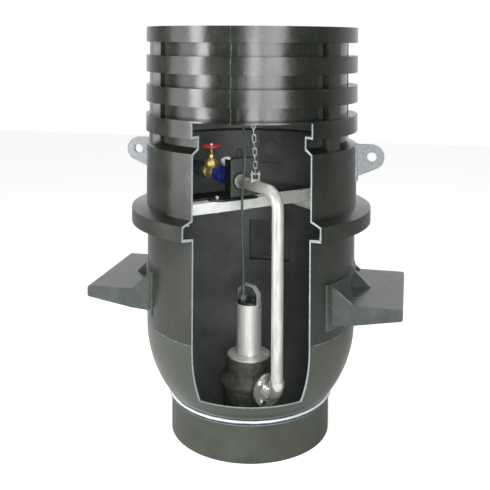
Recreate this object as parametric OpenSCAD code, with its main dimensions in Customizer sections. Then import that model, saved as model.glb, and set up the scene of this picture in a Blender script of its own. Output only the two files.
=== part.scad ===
// Sewage lifting station: a domed plastic chamber, cut open at the front, with a pump on a raised coupling.
// Millimetres. Origin on the chamber's axis at floor level, X through the lugs and wings, -Y the cut-open front.

/* [Chamber] */
// Outside radius of the rings and of the upper body
ring_r = 400; // [380:1:420]
// Outside radius of the neck between the rings
groove_r = 361; // [350:1:366]
// Wall thickness of the moulding
wall = 8; // [7:0.5:10]
// Height of the rim
chamber_h = 1500; // [1490:1:1600]
// Distance from one ring to the next
ring_pitch = 109; // [105:1:112]
// Height of one ring
ring_h = 61; // [54:1:64]
// Height of the rim's own ring
rim_h = 56; // [50:1:60]
// Outside radius of the upper body
body_r = 396; // [392:1:400]
// Outside radius of the lower body and of the dome
dome_r = 391; // [388:1:394]
// Height of the dome's centre above the floor
dome_z = 402; // [398:1:410]
// Outside radius of the bulge at mid height
bulge_r = 450; // [435:1:460]
// Height of the bulge's lower rim
bulge_z = 781; // [775:1:785]
// Height of the bulge's rim
bulge_h = 52; // [48:1:54]
// Number of ribs round each groove
rib_count = 6; // [4:1:8]
// Width of one rib
rib_w = 66; // [50:1:80]
// Outside radius of the foot ring
foot_r = 296; // [280:1:310]
// Height of the foot ring
foot_h = 130; // [120:1:132]

/* [Window] */
// Lowest edge of the cut-out
window_z0 = 212; // [205:1:230]
// Distance of the cut-out's upper edge below the top of the fourth ring
window_drop = 6; // [2:1:12]
// Direction of one side of the cut-out, in degrees from +X
window_a0 = -108.7; // [-115:0.1:-100]
// Direction of the other side
window_a1 = -47; // [-55:0.1:-40]

/* [Wings and lugs] */
// Distance of the wing's outer edge from the axis
wing_reach = 572; // [540:1:600]
// Width of a wing
wing_w = 430; // [400:1:450]
// Height of the wing's flat top
wing_z = 543; // [535:1:555]
// Thickness of the wing's outer edge
wing_edge_h = 42; // [36:1:50]
// Distance of the lifting eye from the axis
lug_hole_x = 454; // [450:1:470]
// Height of the lifting eye
lug_hole_z = 1023; // [1015:1:1030]
// Radius of the lifting eye
lug_hole_r = 17.5; // [12:0.5:20]
// Thickness of a lug
lug_t = 14; // [10:1:20]

/* [Beam and pipework] */
// Direction of the discharge line towards the pump, in degrees from +X
line_turn = -47; // [-50:1:-42]
// Offset of the discharge line from the chamber's axis
line_y = -59; // [-65:1:-50]
// Height of the discharge line
line_z = 922; // [915:1:930]
// Side of the square beam
beam_w = 40; // [36:1:44]
// Height of the beam's top
beam_z = 851; // [848:1:852]
// Outside radius of the pressure pipe
pipe_r = 21; // [19:0.5:22]
// Wall of the pressure pipe
pipe_wall = 2.5; // [2:0.5:3.5]
// Distance of the vertical pipe from the beam's middle
riser_x = 277; // [270:1:285]
// Radius of the pipe's bend, at its middle
bend_r = 63; // [55:1:70]

/* [Pump] */
// Distance of the pump's axis from the vertical pipe
pump_gap = 190; // [188:1:196]
// Height of the pump's outlet
outlet_z = 218; // [214:1:226]
// Radius of the motor jacket
jacket_r = 46; // [44:0.5:48]
// Height of the motor jacket
jacket_h = 186; // [180:1:200]
// Height of the jacket's foot
jacket_z = 303; // [301:1:305]
// Radius of the polished flange under the jacket
disc_r = 77; // [72:1:80]
// Largest radius of the pump casing
bell_r = 111; // [106:1:113]
// Radius of the bolted outlet flange
flange_r = 58; // [54:1:60]
// Radius of the impeller
impeller_r = 58; // [50:1:62]

/* [Chain and cable] */
// Thickness of the chain's wire
link_d = 5; // [4:0.5:5.5]
// Diameter of the pump cable
cable_d = 9; // [8:0.5:10]
// Mean radius of the stored coil of cable
coil_r = 80; // [72:1:84]

/* [Hidden] */

$fn = 64;
tiny = 0.3;
seat = 0.05;

ring_z = [for (i = [0:3]) chamber_h - rim_h - i * ring_pitch];
ring_top = [for (i = [0:3]) i == 0 ? chamber_h : ring_z[i] + ring_h];
neck_r = groove_r - wall;
window_z1 = ring_top[3] - window_drop;
shoulder_z = ring_z[3] - 51;
shoulder_h = 18;
bulge_top = bulge_z + bulge_h;
bulge_slope_up = 10;
bulge_slope_down = 11;
rib_r = groove_r + 28;
foot_wall = 10;

// Turns a child from the beam's own axes: X towards the pump, Y along the beam.
module at_beam() { rotate([0, 0, line_turn]) children(); }
module at_line() { at_beam() translate([0, line_y, 0]) children(); }

// A straight round bar along X, from x0 to x1.
module bar_x(x0, x1, r) { translate([x0, 0, 0]) rotate([0, 90, 0]) cylinder(r = r, h = x1 - x0); }
// A washer along X with its hole.
module tube_x(x0, x1, r, hole_r) {
    difference() {
        bar_x(x0, x1, r);
        bar_x(x0 - 1, x1 + 1, hole_r);
    }
}
module tube_z(z0, z1, r, hole_r) {
    translate([0, 0, z0]) difference() {
        cylinder(r = r, h = z1 - z0);
        translate([0, 0, -1]) cylinder(r = hole_r, h = z1 - z0 + 2);
    }
}
// A six-sided prism along Z.
module hex_z(z0, z1, across) { translate([0, 0, z0]) cylinder(r = across / sqrt(3), h = z1 - z0, $fn = 6); }
// A bent round bar: a quarter circle in the XZ plane, centred on the origin.
module quarter_bend(r, bar_r, a0 = 0) {
    rotate([90, 0, 0]) rotate([0, 0, a0]) rotate_extrude(angle = 90) translate([r, 0]) circle(r = bar_r);
}

// The chamber's outline, from the rim down to the dome's edge, for a shell grown inwards by t.
function ring_points(i, t) = [
    [ring_r - t, i == 0 ? chamber_h + (t > 0 ? 1 : 0) : ring_top[i] - t],
    [ring_r - t, ring_z[i] + t],
    [groove_r - t, ring_z[i] + t],
    [groove_r - t, (i == 3 ? shoulder_z + shoulder_h : ring_top[i + 1]) - t]];
function chamber_outline(t) = concat(
    [[0, chamber_h + (t > 0 ? 1 : 0)]],
    [for (i = [0:3]) each ring_points(i, t)],
    [[body_r - t, shoulder_z - t * 0.6],
     [body_r - t, bulge_top + bulge_slope_up - t * 0.8],
     [bulge_r - t, bulge_top - t * 0.8],
     [bulge_r - t, bulge_z + t],
     [dome_r - t, bulge_z - bulge_slope_down + t],
     [dome_r - t, dome_z],
     [0, dome_z]]);

module chamber_solid(t) {
    rotate_extrude($fn = 128) polygon(chamber_outline(t));
    translate([0, 0, dome_z]) sphere(r = dome_r - t, $fn = 128);
}

// Ribs that bridge each groove, as blocks that reach into the rings above and below.
module groove_ribs(t) {
    for (i = [0:3], k = [0:rib_count - 1]) {
        low = i == 3 ? shoulder_z + 4 : ring_top[i + 1] - wall;
        high = ring_z[i] + wall;
        rotate([0, 0, 30 + k * 360 / rib_count])
            translate([groove_r - wall - 12, -rib_w / 2 + t, low])
                cube([rib_r - groove_r + wall + 12 - t, rib_w - 2 * t, high - low]);
    }
}

module window_cut() {
    far = 700;
    translate([0, 0, window_z0])
        linear_extrude(window_z1 - window_z0)
            polygon([[0, 0],
                far * [cos(window_a0), sin(window_a0)],
                far * 1.25 * [cos((window_a0 + window_a1) / 2), sin((window_a0 + window_a1) / 2)],
                far * [cos(window_a1), sin(window_a1)]]);
}

outlet_r = pipe_r + 3;

module tank_shell() {
    color("#2b302d") difference() {
        union() {
            chamber_solid(0);
            intersection() {
                groove_ribs(0);
                tube_z(shoulder_z, chamber_h - 10, rib_r, 10);
            }
            inlet_pads(0);
        }
        chamber_solid(wall);
        intersection() {
            groove_ribs(wall);
            tube_z(shoulder_z, chamber_h - 10, rib_r - wall, 10);
        }
        inlet_pads(wall);
        window_cut();
        at_line() translate([0, 0, line_z]) bar_x(-500, -300, outlet_r);
        translate([0, bulge_r, port_z]) rotate([90, 0, 0]) cylinder(r = 11, h = 120);
    }
}

// Flat pads on the back: a small one for the vent and cable duct, a large one for the inlet pipe.
port_z = 988;
port_w = 111;
port_h = 150;
inlet_z = 590;
inlet_w = 190;
pad_y = 408;
module inlet_pads(t) {
    translate([-port_w / 2 + t, 300, port_z - port_h / 2 + t])
        cube([port_w - 2 * t, pad_y - 300 - t, port_h - 2 * t]);
    translate([-inlet_w / 2 + t, 300, inlet_z - inlet_w / 2 + t])
        cube([inlet_w - 2 * t, pad_y - 300 - t, inlet_w - 2 * t]);
    inlet_disc_r = 80;
    translate([0, pad_y + 10 - t, inlet_z]) rotate([90, 0, 0]) cylinder(r = inlet_disc_r - t, h = 60);
}

module foot_ring() {
    color("#3a403a") difference() {
        cylinder(r = foot_r, h = foot_h + 20, $fn = 128);
        translate([0, 0, -1]) cylinder(r = foot_r - foot_wall, h = foot_h + 30, $fn = 128);
        translate([0, 0, dome_z]) sphere(r = dome_r, $fn = 128);
        tube_z(foot_h, foot_h + 30, foot_r + 5, foot_r - 4);
    }
}

module foot_weld() {
    bead_r = 10;
    color("#4a524e") difference() {
        rotate_extrude($fn = 128) translate([foot_r - 1, foot_h + bead_r + 0.2]) circle(r = bead_r, $fn = 32);
        translate([0, 0, dome_z]) sphere(r = dome_r, $fn = 128);
        cylinder(r = foot_r, h = foot_h, $fn = 128);
        cylinder(r = foot_r - 4, h = foot_h + 20, $fn = 128);
    }
}

wing_root_z = 470;
wing_fillet = 9;
gusset_z = 606;
gusset_x = 402;
gusset_t = 16;

// Side outline of a wing in the XZ plane, with its two outer edges rounded.
module wing_profile() {
    r = wing_fillet;
    low = wing_z - wing_edge_h;
    polygon(concat(
        [[300, wing_z], [300, wing_root_z - 4]],
        [[dome_r + 10, wing_root_z + 4]],
        [for (a = [-90:15:0]) [wing_reach - r + r * cos(a), low + r + r * sin(a)]],
        [for (a = [0:15:90]) [wing_reach - r + r * cos(a), wing_z - r + r * sin(a)]]));
}

module wing() {
    color("#414844") difference() {
        union() {
            rotate([90, 0, 0]) linear_extrude(wing_w, center = true) wing_profile();
            for (side = [-1, 1])
                translate([0, side * (wing_w - gusset_t) / 2, 0])
                    rotate([90, 0, 0]) linear_extrude(gusset_t, center = true)
                        polygon([[300, wing_z - 5], [gusset_x + 6, wing_z - 5], [gusset_x, wing_z],
                            [327, gusset_z], [300, gusset_z]]);
            rotate([90, 0, 0]) linear_extrude(20, center = true)
                polygon([[300, wing_z - 5], [454, wing_z - 5], [454, wing_z], [390, gusset_z], [300, gusset_z]]);
            // Welding flange that follows the wall
            intersection() {
                tube_z(wing_root_z - 16, gusset_z + 8, dome_r + 5, dome_r - 5);
                translate([200, -wing_w / 2 - 20, wing_root_z - 16])
                    cube([300, wing_w + 40, gusset_z - wing_root_z + 24]);
            }
        }
        translate([0, 0, 300]) cylinder(r = dome_r, h = 400, $fn = 128);
    }
}
module buoyancy_wing_right() { wing(); }
module buoyancy_wing_left() { rotate([0, 0, 180]) wing(); }

lug_r = 46;
lug_top_z = shoulder_z + 1;
lug_low_z = 942;

// A lug in the XZ plane: a round end about the eye, a level top and a slanted lower edge to the wall.
module lug() {
    root_x = 380;
    dx = root_x - lug_hole_x;
    dz = lug_low_z - lug_hole_z;
    reach = sqrt(dx * dx + dz * dz);
    tangent = atan2(dz, dx) + acos(lug_r / reach);
    color("#8d9196") difference() {
        union() {
            rotate([90, 0, 0]) linear_extrude(lug_t, center = true) {
                translate([lug_hole_x, lug_hole_z]) circle(r = lug_r);
                polygon([[root_x, lug_low_z], [lug_hole_x, lug_hole_z] + lug_r * [cos(tangent), sin(tangent)],
                    [lug_hole_x, lug_hole_z + lug_r], [root_x, lug_hole_z + lug_r]]);
            }
            translate([380, -22, lug_low_z - 8]) cube([body_r + 7 - 380, 44, lug_hole_z + lug_r - lug_low_z + 8]);
        }
        translate([0, 0, 800]) cylinder(r = body_r, h = 400, $fn = 128);
        translate([lug_hole_x, lug_t, lug_hole_z]) rotate([90, 0, 0]) cylinder(r = lug_hole_r, h = 2 * lug_t);
    }
}
module lifting_lug_right() { lug(); }
module lifting_lug_left() { rotate([0, 0, 180]) lug(); }

// Cross beam, its supports and bolts. The beam's middle lies a little behind the chamber's axis.
beam_x = -16;
beam_wall = 3;
beam_end = 378;
beam_low = beam_z - beam_w;
support_t = 6;
support_lip = 21;
support_y_right = 235;
support_y_left = 300;
support_half_w = 105;
support_r = 428;
bolt_r = 5;
bolt_head = 17;
end_bolt_y = [252, -325];
foot_bolt_y = [-75, 45];
foot_bolt_x = -26;
foot_t = 8;
bulge_in = bulge_r - wall;
floor_in = dome_r - wall;
function bulge_floor(r) = bulge_z - bulge_slope_down + wall + (r - floor_in) * bulge_slope_down / (bulge_in - floor_in);

module cross_beam() {
    color("#d9dad6") at_beam() difference() {
        translate([beam_x - beam_w / 2, -beam_end, beam_low]) cube([beam_w, 2 * beam_end, beam_w]);
        translate([beam_x - beam_w / 2 + beam_wall, -beam_end - 1, beam_low + beam_wall])
            cube([beam_w - 2 * beam_wall, 2 * beam_end + 2, beam_w - 2 * beam_wall]);
        for (y = end_bolt_y) translate([beam_x, y, beam_low - 1]) cylinder(r = bolt_r + tiny, h = beam_w + 2);
        for (y = foot_bolt_y)
            translate([foot_bolt_x, y + line_y, beam_low - 1]) cylinder(r = bolt_r + tiny, h = beam_w + 2);
    }
}

// A formed plate under the beam's end, which stands on the sloping floor of the chamber's bulge.
module beam_support(inner_y, half_w, bolt_y) {
    r1 = support_r - support_t;
    foot_r0 = floor_in + 12;
    difference() {
        intersection() {
            union() {
                translate([0, 0, beam_low - support_t]) cylinder(r = support_r, h = support_t, $fn = 128);
                rotate_extrude($fn = 128)
                    polygon([[foot_r0, bulge_floor(foot_r0)], [support_r, bulge_floor(support_r)],
                        [support_r, beam_low], [r1, beam_low], [r1, bulge_floor(r1) + support_t],
                        [foot_r0, bulge_floor(foot_r0) + support_t]]);
                translate([-half_w, inner_y, beam_low - support_lip]) cube([2 * half_w, 3, support_lip]);
            }
            translate([-half_w, inner_y, 700]) cube([2 * half_w, 300, 200]);
        }
        translate([beam_x, bolt_y, beam_low - 30]) cylinder(r = bolt_r + tiny, h = 60);
    }
}
module beam_support_right() {
    color("#cfd1cd") at_beam() beam_support(support_y_right, support_half_w, end_bolt_y[0]);
}
module beam_support_left() {
    color("#cfd1cd") at_beam() mirror([0, 1, 0]) beam_support(support_y_left, 70, -end_bolt_y[1]);
}

module bolt(x, y, top, low) {
    translate([x, y, 0]) {
        translate([0, 0, low - 9]) cylinder(r = bolt_r, h = top - low + 9);
        hex_z(top, top + 7, bolt_head);
        hex_z(low - 8, low, bolt_head);
    }
}
module beam_bolts() {
    color("#c4c6c6") at_beam() {
        for (y = end_bolt_y) bolt(beam_x, y, beam_z, beam_low - support_t);
        for (y = foot_bolt_y) bolt(foot_bolt_x, y + line_y, beam_z + foot_t, beam_low);
    }
}

// Raised coupling. The fixed half stands on the beam; the moving half drops in front of it from above.
cup_y0 = -37;
cup_y1 = 73;
cup_top = 1000;
cup_low = beam_z + foot_t;
cup_side = 6;
cup_back = -14;
cup_back_t = 8;
cup_front = 4;
spigot_r = 30;
nipple_r = 19;
nipple_bore = 15;
nipple_gap = 0.25;

module coupling_body() {
    color("#1d201f") at_line() difference() {
        union() {
            translate([0, 0, beam_z]) linear_extrude(foot_t)
                polygon([[-36, -112], [-4, -112], [22, -70], [22, cup_y1 + 2], [-36, cup_y1 + 2]]);
            translate([cup_back, cup_y0, cup_low]) cube([cup_back_t, cup_y1 - cup_y0, cup_top - cup_low]);
            for (y = [cup_y0, cup_y1 - cup_side])
                translate([-36, y, cup_low]) cube([cup_front + 36, cup_side, cup_top - cup_low]);
            translate([0, 0, line_z]) bar_x(-42, cup_back + 1, spigot_r);
        }
        translate([0, 0, line_z]) bar_x(-50, 10, nipple_r + nipple_gap);
        for (y = foot_bolt_y) translate([foot_bolt_x, y, beam_z - 1]) cylinder(r = bolt_r + tiny, h = foot_t + 2);
    }
}

// Moving half, which hangs on the top of the fixed half and carries the pipe and the pump.
plate_x = cup_front + 1;
plate_t = 6;
plate_low = 862;
plate_top = cup_top + 3;
tongue_x = cup_back + cup_back_t + 1;
loop_r = 11;
loop_wire = 3;
loop_h = 24;
seal_r = 29.5;
module coupling_plate() {
    color("#3f4744") at_line() {
        difference() {
            union() {
                translate([plate_x, cup_y0, plate_low]) cube([plate_t, cup_y1 - cup_y0, plate_top - plate_low]);
                translate([tongue_x, cup_y0 + cup_side + 1, plate_low])
                    cube([plate_x - tongue_x + 1, cup_y1 - cup_y0 - 2 * cup_side - 2, plate_top - plate_low]);
                translate([cup_back - 7, -22, cup_top + 1]) cube([plate_x + plate_t - cup_back + 7, 76, 5]);
                translate([cup_back - 7, -22, cup_top - 9]) cube([5, 76, 12]);
            }
            translate([0, 0, line_z]) bar_x(tongue_x - 1, 20, pipe_r + 0.2);
            translate([0, 0, line_z]) bar_x(tongue_x - 1, tongue_x + 3, seal_r + 0.3);
        }
        translate([plate_x + 2, 0, plate_top + 3]) {
            for (y = [-loop_r, loop_r]) translate([0, y, -3]) cylinder(r = loop_wire, h = loop_h + 3);
            translate([0, 0, loop_h]) rotate([90, 0, 90]) rotate_extrude(angle = 180)
                translate([loop_r, 0]) circle(r = loop_wire, $fn = 24);
        }
    }
}
module coupling_seal() {
    color("#151515") at_line() translate([0, 0, line_z]) tube_x(tongue_x - 0.6, tongue_x + 3, seal_r, pipe_r + 1);
}
module pipe_gasket() {
    color("#151515") at_line() translate([0, 0, line_z])
        tube_x(plate_x + plate_t, plate_x + plate_t + 5, pipe_r + 9, pipe_r + 0.2);
}

// Valves and pipe behind the coupling, towards the wall.
check_x = -110;
check_half = 50;
gate_x = -215;
gate_half = 32;
socket = 12;
ball_r = 18;
ball_gap = 0.4;
branch_lean = 25;
branch_len = 66;
module at_branch() { at_line() translate([check_x, 0, line_z]) rotate([0, branch_lean, 0]) children(); }

module valve_nipples() {
    spans = [[check_x + check_half - socket, -16], [gate_x + gate_half - socket, check_x - check_half + socket],
        [gate_x - gate_half - 18, gate_x - gate_half + socket]];
    color("#c9b878") at_line() translate([0, 0, line_z])
        for (s = spans) tube_x(s[0] + 0.2, s[1] - 0.2, nipple_r, nipple_bore);
}

module check_valve_body() {
    x0 = check_x - check_half;
    x1 = check_x + check_half;
    color("#26339a") difference() {
        union() {
            at_line() translate([0, 0, line_z]) {
                bar_x(x0, x1, 25);
                for (x = [x0, x1 - 16]) translate([x, 0, 0]) rotate([0, 90, 0]) cylinder(r = 31, h = 16, $fn = 8);
            }
            at_line() translate([check_x, 0, line_z]) sphere(r = 32);
            at_branch() cylinder(r = 25, h = branch_len - 8);
        }
        at_line() translate([0, 0, line_z]) {
            bar_x(x0 - 1, x1 + 1, nipple_bore);
            bar_x(x0 - 1, x0 + socket, nipple_r + nipple_gap);
            bar_x(x1 - socket, x1 + 1, nipple_r + nipple_gap);
        }
        at_branch() {
            cylinder(r = ball_r + ball_gap, h = branch_len);
            sphere(r = ball_r + ball_gap);
        }
    }
}
module check_valve_ball() { color("#202020") at_branch() sphere(r = ball_r); }
module check_valve_cap() {
    color("#d8d9d2") at_branch() {
        hex_z(branch_len - 8, branch_len + 4, 46);
        translate([0, 0, branch_len - 16]) cylinder(r = ball_r, h = 10);
        intersection() {
            translate([0, 0, branch_len - 4]) sphere(r = 22);
            translate([-30, -30, branch_len]) cube([60, 60, 40]);
        }
    }
}

gate_bore = 14;
wedge_r = 16.5;
wedge_t = 15;
wedge_lift = 31;
wedge_corner = norm([wedge_r, wedge_t / 2]);
neck_top = line_z + 28;
bonnet_top = line_z + 56;
stem_r = 4.5;
stem_fit = 0.06;
wheel_z = 1018;
wheel_h = 12;
wheel_rim_r = 32;
wheel_wire = 5.5;
module at_gate() { at_line() translate([gate_x, 0, 0]) children(); }

module gate_chamber(h) {
    slot = wedge_t / 2 + 0.4;
    side = wedge_r + 0.5;
    translate([-slot, -side, line_z]) cube([2 * slot, 2 * side, h]);
    translate([-slot, 0, line_z]) rotate([0, 90, 0]) cylinder(r = side, h = 2 * slot);
}
module gate_valve_body() {
    color("#b39a4b") at_gate() difference() {
        union() {
            translate([0, 0, line_z]) {
                bar_x(-gate_half, gate_half, 22);
                for (x = [-gate_half, gate_half - 15]) translate([x, 0, 0]) rotate([0, 90, 0]) cylinder(r = 27, h = 15, $fn = 8);
            }
            translate([0, 0, line_z]) cylinder(r = 22, h = 28);
        }
        translate([0, 0, line_z]) {
            bar_x(-gate_half - 1, gate_half + 1, gate_bore);
            bar_x(-gate_half - 1, -gate_half + socket, nipple_r + nipple_gap);
            bar_x(gate_half - socket, gate_half + 1, nipple_r + nipple_gap);
        }
        gate_chamber(60);
    }
}
module gate_valve_bonnet() {
    color("#bda556") at_gate() difference() {
        union() {
            hex_z(neck_top, neck_top + 16, 48);
            translate([0, 0, neck_top + 16]) cylinder(r1 = 21, r2 = 12, h = 12);
        }
        translate([0, 0, neck_top - 1]) cylinder(r = wedge_corner + 0.5, h = 15);
        translate([0, 0, neck_top + 13]) cylinder(r = 15, h = 8);
        cylinder(r = stem_r + stem_fit, h = 1100);
    }
}
module packing_nut() {
    color("#bda556") at_gate() difference() {
        hex_z(bonnet_top, bonnet_top + 13, 20);
        cylinder(r = stem_r + stem_fit, h = 1100);
    }
}
module gate_stem() {
    color("#c8b263") at_gate() {
        translate([0, 0, line_z + 9]) cylinder(r = stem_r, h = wheel_z - line_z - 9);
        translate([0, 0, wheel_z]) cylinder(r = 3.9, h = wheel_h + 6);
    }
}
module gate_wedge() {
    color("#a98f45") at_gate() difference() {
        translate([-wedge_t / 2, 0, line_z + wedge_lift]) rotate([0, 90, 0]) cylinder(r = wedge_r, h = wedge_t);
        cylinder(r = stem_r + 0.1, h = 1100);
    }
}
module handwheel() {
    spoke_count = 5;
    color("#b3261f") at_gate() difference() {
        union() {
            translate([0, 0, wheel_z + 6]) rotate_extrude() translate([wheel_rim_r, 0]) circle(r = wheel_wire, $fn = 24);
            translate([0, 0, wheel_z]) cylinder(r = 10, h = wheel_h);
            for (k = [0:spoke_count - 1]) rotate([0, 0, k * 360 / spoke_count + 10])
                translate([5, -4.5, wheel_z + 3]) cube([wheel_rim_r - 7, 9, 6]);
        }
        translate([0, 0, wheel_z - 1]) cylinder(r = 4, h = wheel_h + 2);
    }
}
module handwheel_nut() {
    color("#d2d2cc") at_gate() difference() {
        hex_z(wheel_z + wheel_h, wheel_z + wheel_h + 5, 13);
        translate([0, 0, wheel_z]) cylinder(r = 4, h = 40);
    }
}

union_x = gate_x - gate_half - 14;
outlet_end = -457;
spigot_len = 40;
spigot_out_r = 25;
module pipe_union() {
    color("#2a2f33") at_line() translate([0, 0, line_z]) difference() {
        union() {
            bar_x(union_x - 46, union_x, 26);
            for (x = [union_x - 46, union_x - 18]) bar_x(x, x + 14, 31);
        }
        bar_x(union_x - 20, union_x + 1, nipple_r + nipple_gap);
        bar_x(union_x - 60, union_x - 18, pipe_r + nipple_gap);
    }
}
module outlet_pipe() {
    color("#3a3f3d") at_line() translate([0, 0, line_z]) difference() {
        union() {
            bar_x(outlet_end, union_x - 20, pipe_r);
            bar_x(outlet_end, outlet_end + spigot_len, spigot_out_r);
        }
        bar_x(outlet_end - 1, union_x, pipe_r - 4);
    }
}
// Collar welded round the outlet pipe, on the outside of the wall and through it.
module wall_collar() {
    color("#262a28") at_line() difference() {
        union() {
            difference() {
                translate([0, 0, line_z]) bar_x(-415, -340, 40);
                translate([0, -line_y, line_z - 60]) cylinder(r = body_r, h = 120, $fn = 128);
            }
            translate([0, 0, line_z]) bar_x(-412, -362, outlet_r - 0.1);
        }
        translate([0, 0, line_z]) bar_x(-500, -300, pipe_r + 0.2);
    }
}

// Pressure pipe of the pump unit, from the coupling over the bend down to the pump's elbow.
elbow_r = 40;
elbow_pipe_r = pipe_r + 3;
riser_low = outlet_z + elbow_r + 4;
collar_x = plate_x + plate_t + 6;
module riser_path(r) {
    bend_x = riser_x - bend_r;
    translate([0, 0, line_z]) bar_x(tongue_x, bend_x, r);
    translate([bend_x, 0, line_z - bend_r]) quarter_bend(bend_r, r);
    translate([riser_x, 0, riser_low]) cylinder(r = r, h = line_z - bend_r - riser_low);
}
module riser_pipe() {
    color("#d3d3cf") at_line() difference() {
        union() {
            riser_path(pipe_r);
            translate([0, 0, line_z]) bar_x(collar_x, collar_x + 5, pipe_r + 5);
        }
        riser_path(pipe_r - pipe_wall);
        translate([0, 0, line_z]) bar_x(tongue_x - 5, tongue_x + 5, pipe_r - pipe_wall);
        translate([riser_x, 0, riser_low - 2]) cylinder(r = pipe_r - pipe_wall, h = 5);
    }
}

// Lifting bracket on the pipe. Its pin lies square to the chain.
bracket_x = 128;
pin_r = 3.4;
pin_z = line_z + 44;
ear_gap = 22;
ear_t = 4;
rail_r = 336;
rail_z = 1412;
rail_bar_r = 4.5;
rail_turn = -79.4;
pin_place = [bracket_x * cos(line_turn) - line_y * sin(line_turn),
    bracket_x * sin(line_turn) + line_y * cos(line_turn), pin_z];
rail_place = [rail_r * cos(rail_turn), rail_r * sin(rail_turn), rail_z];
span = rail_place - pin_place;
chain_turn = atan2(span[1], span[0]);
module at_bracket() { translate([pin_place[0], pin_place[1], 0]) rotate([0, 0, chain_turn]) children(); }

module pipe_bracket() {
    color("#dcdcd8") difference() {
        at_bracket() difference() {
            union() {
                for (side = [-1, 1]) translate([0, side * (ear_gap + ear_t) / 2, 0]) rotate([90, 0, 0]) {
                    translate([0, 0, -ear_t / 2]) linear_extrude(ear_t) {
                        translate([0, pin_z]) circle(r = 11);
                        translate([-11, line_z + 8]) square([22, pin_z - line_z - 8]);
                    }
                }
                translate([-11, -ear_gap / 2 - ear_t, line_z + 8]) cube([22, ear_gap + 2 * ear_t, 18]);
            }
            translate([0, 40, pin_z]) rotate([90, 0, 0]) cylinder(r = pin_r + 0.2, h = 80);
        }
        at_line() translate([0, 0, line_z]) bar_x(0, 200, pipe_r);
    }
}
module bracket_pin() {
    half = ear_gap / 2 + ear_t;
    color("#c9cac8") at_bracket() translate([0, 0, pin_z]) rotate([90, 0, 0]) {
        translate([0, 0, -half - 3]) cylinder(r = pin_r, h = 2 * half + 6);
        translate([0, 0, half + 0.2]) cylinder(r = 6.5, h = 4, $fn = 6);
        translate([0, 0, -half - 4.2]) cylinder(r = 6.5, h = 4, $fn = 6);
    }
}

// Chain: the link's length follows from the distance between pin and rail.
link_count = 17;
link_w = 17.5;
link_arc = (link_w - link_d) / 2;
link_play = 0.3;
hook_arc = 8.5;
hook_wire = 2.4;
hook_ring_z = 2 * link_arc - link_d / 2 - hook_wire - 0.1;
hook_shank = 26;
chain_run = sqrt(span * span - hook_arc * hook_arc);
chain_tilt = atan2(norm([span[0], span[1]]), span[2]) - atan2(hook_arc, chain_run);
chain_pitch = (chain_run - hook_shank - link_d + 2 * link_arc - link_play) / link_count;
link_straight = chain_pitch + link_play + link_d - 2 * link_arc;
// Places a child on the chain, at a distance from the pin, with Z along the chain and X in its leaning plane.
module on_chain(distance) {
    translate(pin_place) rotate([0, 0, chain_turn]) rotate([0, chain_tilt, 0]) translate([0, 0, distance]) children();
}
module half_ring(r, wire, angle = 180) {
    rotate([90, 0, 0]) rotate_extrude(angle = angle) translate([r, 0]) circle(r = wire, $fn = 24);
}
module link() {
    for (side = [-1, 1]) translate([side * link_arc, 0, 0]) cylinder(r = link_d / 2, h = link_straight, $fn = 24);
    translate([0, 0, link_straight]) half_ring(link_arc, link_d / 2);
    rotate([180, 0, 0]) half_ring(link_arc, link_d / 2);
}
module lifting_chain() {
    color("#b9bab8") for (i = [0:link_count - 1]) on_chain(i * chain_pitch) rotate([0, 0, i % 2 * 90]) link();
}
module chain_end_hook() {
    top = link_count * chain_pitch - chain_pitch + link_straight;
    color("#c9cac8") on_chain(top) {
        translate([0, 0, hook_ring_z]) rotate([0, 0, 90]) {
            half_ring(link_arc, hook_wire);
            rotate([180, 0, 0]) half_ring(link_arc, hook_wire);
        }
        translate([0, 0, hook_ring_z + link_arc]) cylinder(r = hook_wire + 0.4, h = hook_shank - hook_ring_z - link_arc + 0.6);
        translate([hook_arc, 0, hook_shank]) rotate([0, -10, 0]) half_ring(hook_arc, hook_wire, 170);
    }
}

// Two short hangers on the neck's inner wall: one for the chain, one for the stored cable.
coil_turn = -106;
hanger_half = 2.6;
hanger_w = 44;
hanger_t = 4;
module neck_hangers() {
    color("#c4c6c6") difference() {
        for (a = [rail_turn, coil_turn]) {
            rotate([0, 0, a - hanger_half]) rotate_extrude(angle = 2 * hanger_half, $fn = 720)
                translate([rail_r, rail_z]) circle(r = rail_bar_r, $fn = 24);
            for (side = [-1, 1]) rotate([0, 0, a + side * (hanger_half - 0.2)])
                translate([rail_r, 0, rail_z]) rotate([0, 90, 0]) cylinder(r = rail_bar_r + 0.3, h = 14);
            rotate([0, 0, a]) translate([neck_r - hanger_t, -hanger_w / 2, rail_z - hanger_w / 2])
                cube([hanger_t + 8, hanger_w, hanger_w]);
        }
        tube_z(rail_z - 60, rail_z + 60, 420, neck_r, $fn = 720);
    }
}

// Pump, hung from the coupling by its pipe.
pump_x = riser_x - pump_gap;
module at_pump() { at_line() translate([pump_x, 0, 0]) children(); }
jacket_top = jacket_z + jacket_h;
jacket_wall = 2;
stator_r = jacket_r - jacket_wall - seat;
hub_r = 24;
hub_top = 328;
lower_seat_r = 17;
upper_seat_r = 13;
rotor_r = 22;
shaft_r = 8;
casing_top = 297;
casing_neck_r = 83;
casing_z = 208;
motor_floor = casing_top + 9;
gland_x = -1;
gland_y = -25;
gland_top = 521;
sleeve_top = 573;
handle_turn = 14;
handle_half = 49;
handle_top = 553;
strap_t = 4;
strap_w = 18;

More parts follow.
